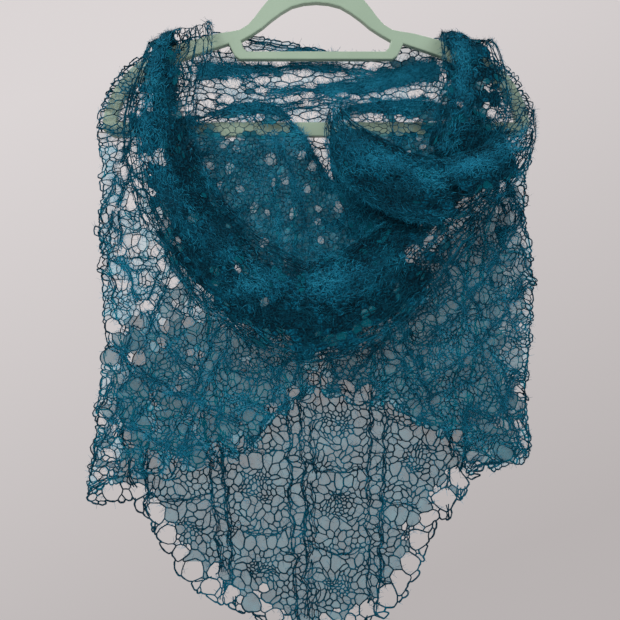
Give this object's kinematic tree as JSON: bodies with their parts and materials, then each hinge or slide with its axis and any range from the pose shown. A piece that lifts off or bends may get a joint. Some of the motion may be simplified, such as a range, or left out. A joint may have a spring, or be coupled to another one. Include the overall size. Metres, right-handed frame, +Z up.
{
  "type": "lace shawl on a clothes hanger",
  "caption": "Knitted mohair lace shawl draped over a plastic clothes hanger, with a pointed scalloped back, two fronts meeting at the middle and rolled cowl folds at the neck.",
  "frame": {"origin": "inside of the hook's crown, where a rail carries the hanger", "axes": "+Z up, the shawl's front towards -Y, +X to the right as seen from the front"},
  "size_m": [0.4505, 0.0997, 0.7502],
  "materials": {
    "mohair_yarn": "fuzzy knitted mohair lace",
    "sage_plastic": "satin"
  },
  "bodies": {
    "root": {"back_panel": "mohair_yarn", "left_front": "mohair_yarn", "right_front": "mohair_yarn", "left_lobe": "mohair_yarn", "right_lobe": "mohair_yarn", "lower_cowl": "mohair_yarn", "upper_cowl": "mohair_yarn", "right_shoulder": "mohair_yarn", "hanger_frame": "sage_plastic", "hanger_hook": "sage_plastic"}
  },
  "joints": []
}
